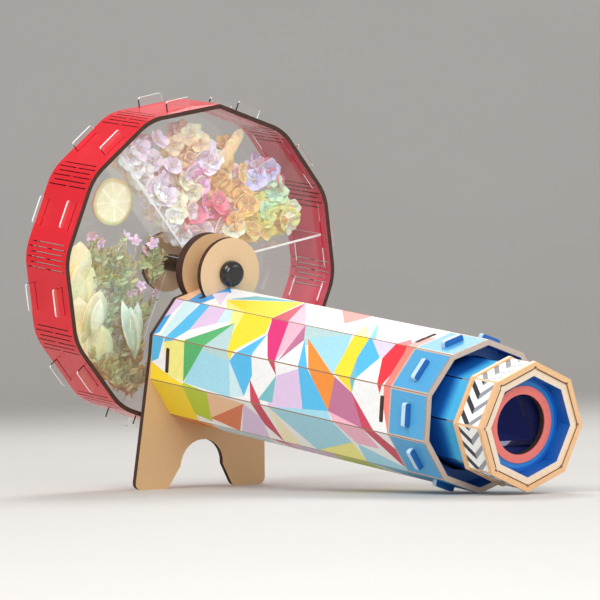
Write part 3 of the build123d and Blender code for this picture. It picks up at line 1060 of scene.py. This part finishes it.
def herb_heap():
    """Green sprigs, small pink flowers, cream petals and sage leaves at the left."""
    heap = Heap(11)
    between = heap.chance.uniform
    fresh = [rgb(150, 176, 128), rgb(124, 154, 110), rgb(178, 200, 152), rgb(108, 130, 96)]
    dry = [rgb(156, 156, 108), rgb(126, 124, 82), rgb(182, 182, 134), rgb(138, 146, 98)]
    star = rgb(246, 196, 230)
    cream, straw = rgb(252, 238, 200), rgb(244, 230, 168)
    for x, y in [(-60, -22), (-55, -18), (-58, -34), (-52, -30), (-50, -44), (-45, -46),
                 (-60, -8)]:
        heap.petal(Vector((x, y, plant_front - between(7, 11))),
                   Vector((between(-0.1, 0.25), 1, 0.05)), heap.tilted(0.3), between(17, 22),
                   15, 0.05, straw, cream)
    beds = [(fresh, 30, -49, -17, -14, 2, 14), (fresh, 20, -46, -18, -32, -16, 15),
            (dry, 54, -46, -20, -66, -40, 11), (dry, 18, -40, -17, -46, -26, 12)]
    for greens, count, left, right, low, high, length in beds:
        for _ in range(count):
            foot = Vector((between(left, right), between(low, high),
                           between(plant_back + 3, plant_front - 5)))
            foot = kept_in(foot, 0, 4.0, 65)
            aim = Vector((between(-0.55, 0.55), 1.0, between(-0.12, 0.12)))
            heap.sprig(foot, aim, length * between(0.7, 1.1), 4.2, greens, 12)
    stars = [(-53, 14), (-49, 11), (-34, 13), (-29, 11), (-21, 10), (-24, 6), (-31, -11),
             (-26, -9), (-19, -12), (-38, 9)]
    for x, y in stars:
        spot = Vector((x, y, plant_front - between(2.5, 6)))
        heap.floret(spot, heap.tilted(1.1), 3.2, 5, deeper(star, 0.9), star, 0.4, 3.2)
        heap.stem([spot, spot + Vector((1, -5, -1)), spot + Vector((0, -10, -2))], 0.3, fresh[2])
    sage, silver = rgb(178, 192, 160), rgb(230, 234, 214)
    for x, y, lean, length in [(-38, -15, 0.3, 26), (-33, -18, 0.15, 24),
                               (-50, -14, -0.2, 17), (-29, -16, -0.1, 22)]:
        heap.petal(Vector((x, y, plant_front - between(0.5, 1.5))), Vector((lean, -1, 0)),
                   heap.tilted(0.25), length, 7.5, 0.04, silver, sage, 0.3, 0.3, 0.02)
    heap.build("herb_heap", "herb_fill")


def slice_piece():
    """A dried fruit slice: a thin wavy disc with a paler heart and radial walls."""
    heap = Heap(3)
    centre = Vector((-39.3, 28.3, plant_back + 7))
    radius, count, rings = 10.6, 40, 6
    rind, wall, flesh = rgb(216, 222, 170), rgb(250, 248, 226), rgb(232, 238, 204)
    heap.vertices.append(to_row(centre))
    for ring in range(rings):
        share = (ring + 1) / rings
        for k in range(count):
            a = 2 * math.pi * k / count
            wave = 0.5 * math.sin(3 * a) * share
            spoke = Vector((radius * share * math.cos(a), radius * share * math.sin(a), wave))
            heap.vertices.append(to_row(centre + spoke))
            here, ahead = 1 + ring * count + k, 1 + ring * count + (k + 1) % count
            heap.faces.append((here - count, ahead - count, ahead, here) if ring
                              else (0, ahead, here))
            pale = wall if k % 5 == 0 or ring == 0 else flesh
            heap.colours.append(rind if ring == rings - 1 else pale)
    heap.build("fruit_slice", "herb_fill", 1.4)


def leaf_heap():
    """Leaves that have fallen to the bottom of the last compartment."""
    heap = Heap(5)
    between = heap.chance.uniform
    greens = [rgb(128, 144, 96), rgb(156, 166, 114), rgb(100, 118, 76), rgb(184, 184, 138)]
    for _ in range(26):
        angle = math.radians(between(262, 316))
        radius = between(50, 65)
        foot = Vector((radius * math.cos(angle), radius * math.sin(angle),
                       between(plant_back + 3, plant_front - 3)))
        aim = Vector((between(-1, 1), between(0.1, 0.8), 0))
        heap.sprig(foot, aim, between(7, 12), 5.0, greens, 8)
    heap.build("leaf_heap", "leaf_fill")


flower_heap()
herb_heap()
slice_piece()
leaf_heap()


# ---- floor, light and camera ----
camera_azimuth = -36.5
camera_elevation = -0.35
camera_distance = 1.93
camera_aim = Vector((-0.011, 0.008, 0.0825))
camera_roll = math.radians(-1.47)
camera_lens = 268.0


def direction_to(azimuth, elevation):
    """From the object towards a camera or light; azimuth 0 is on the eye's side."""
    a, e = math.radians(azimuth), math.radians(elevation)
    return Vector((math.sin(a) * math.cos(e), -math.cos(a) * math.cos(e), math.sin(e)))


def sweep():
    """A pale floor that curves up into a backdrop, well away from the object."""
    near, bend_start, bend_r, top, half_width = -6.0, 2.5, 2.0, 12.0, 12.0
    steps = 24
    profile = [(near, 0.0), (bend_start, 0.0)]
    for k in range(1, steps + 1):
        a = math.pi / 2 * k / steps
        profile.append((bend_start + bend_r * math.sin(a), bend_r - bend_r * math.cos(a)))
    profile.append((bend_start + bend_r, top))
    turn = Matrix.Rotation(math.radians(camera_azimuth), 3, "Z")
    vertices = [turn @ Vector((across, reach, height))
                for reach, height in profile for across in (-half_width, half_width)]
    faces = [(2 * k, 2 * k + 1, 2 * k + 3, 2 * k + 2) for k in range(len(profile) - 1)]
    mesh = bpy.data.meshes.new("sweep")
    mesh.from_pydata(vertices, [], faces)
    for polygon in mesh.polygons:
        polygon.use_smooth = True
    mesh.materials.append(speckled("floor", FLOOR, 0.6, 3, 0.98, 1.02, 0.02))
    in_scene("sweep", mesh)


def make_camera():
    data = bpy.data.cameras.new("camera")
    data.lens = camera_lens
    data.sensor_width = 36.0
    data.clip_end = 50.0
    camera = in_scene("camera", data)
    back = direction_to(camera_azimuth, camera_elevation)
    level = Vector((0, 0, 1)).cross(back).normalized()
    upright = back.cross(level)
    right = level * math.cos(camera_roll) + upright * math.sin(camera_roll)
    top = upright * math.cos(camera_roll) - level * math.sin(camera_roll)
    turn = Matrix((right, top, back)).transposed()
    camera.matrix_world = Matrix.Translation(camera_aim + back * camera_distance) @ turn.to_4x4()
    scene.camera = camera


def area_light(name, azimuth, elevation, distance, size, power):
    data = bpy.data.lights.new(name, "AREA")
    data.shape = "DISK"
    data.size = size
    data.energy = power
    light = in_scene(name, data)
    away = direction_to(azimuth, elevation)
    light.location = camera_aim + away * distance
    light.rotation_mode = "QUATERNION"
    light.rotation_quaternion = away.to_track_quat("Z", "Y")


def soft_light():
    world = bpy.data.worlds.new("studio")
    world.use_nodes = True
    background = world.node_tree.nodes["Background"]
    background.inputs["Color"].default_value = (1, 1, 1, 1)
    background.inputs["Strength"].default_value = 0.62
    scene.world = world
    area_light("key", -75, 50, 1.6, 0.9, 11)
    area_light("front", -24, 22, 1.8, 1.0, 12)
    area_light("fill", 35, 22, 1.8, 1.0, 4)
    area_light("rim", 140, 50, 1.6, 0.8, 11)
    scene.view_settings.view_transform = "Standard"


sweep()
make_camera()
soft_light()
